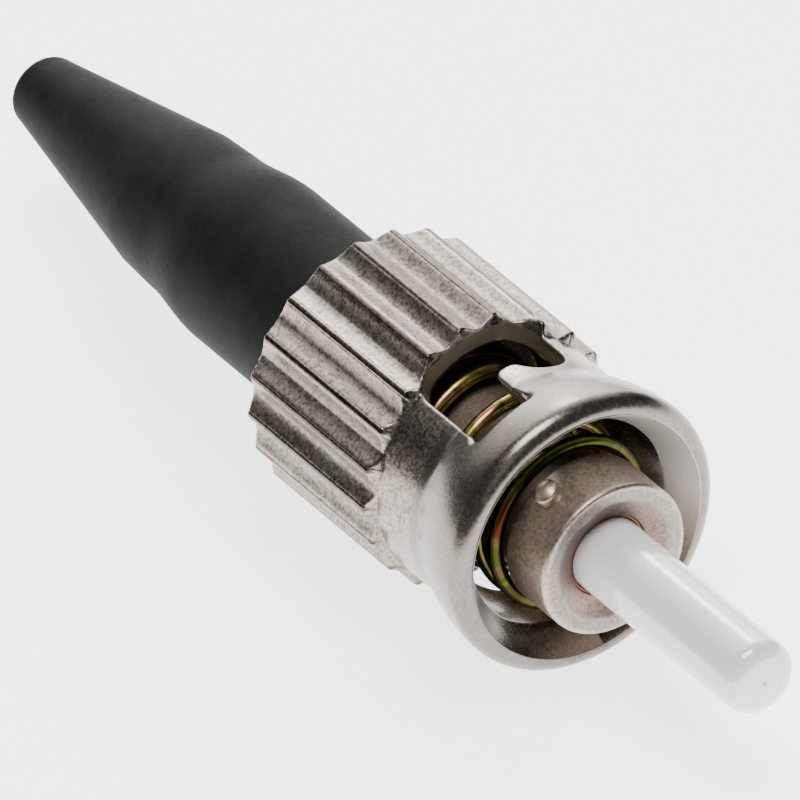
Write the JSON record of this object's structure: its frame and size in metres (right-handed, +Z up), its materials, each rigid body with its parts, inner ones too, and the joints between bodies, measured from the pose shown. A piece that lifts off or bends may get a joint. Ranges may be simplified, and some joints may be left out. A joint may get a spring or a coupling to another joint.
{
  "type": "st fibre connector",
  "caption": "Bayonet fibre optic plug with a white ceramic ferrule, a sprung knurled coupling nut and a tapered black boot.",
  "frame": {"origin": "on the connector's axis, in the front face of the ferrule holder's collar, where the ferrule leaves it", "axes": "+X along the axis towards the ferrule's tip, +Z up with the connector lying on its side as it rests"},
  "size_m": [0.0402, 0.0096, 0.0096],
  "materials": {
    "zirconia": "ground and polished white zirconia",
    "plated_brass": "nickel plated, lightly mottled satin",
    "plated_steel": "nickel plated",
    "spring_wire": "bright wire with straw and green tints",
    "nylon_tube": "natural nylon",
    "boot_rubber": "matt black moulded rubber"
  },
  "bodies": {
    "connector": {"ferrule": "zirconia", "ferrule_holder": "plated_brass", "key_pin": "plated_steel", "spring": "spring_wire", "retaining_clip": "plated_steel", "crimp_post": "plated_brass", "crimp_sleeve": "plated_brass", "guide_tube": "nylon_tube", "boot": "boot_rubber"},
    "spring_seat": {"spring_washer": "plated_steel"},
    "nut": {"coupling_nut": "plated_brass"}
  },
  "joints": [
    {"name": "nut_slide", "type": "slide", "parent": "connector", "child": "spring_seat", "axis": [1, 0, 0], "range_m": [0, 0.0035], "stiffness_N_per_m": 1280, "springref_m": -0.0002, "deforming": ["spring"]},
    {"name": "nut_turn", "type": "hinge", "parent": "spring_seat", "child": "nut", "pos_m": [0, 0, 0], "axis": [1, 0, 0], "continuous": true}
  ]
}
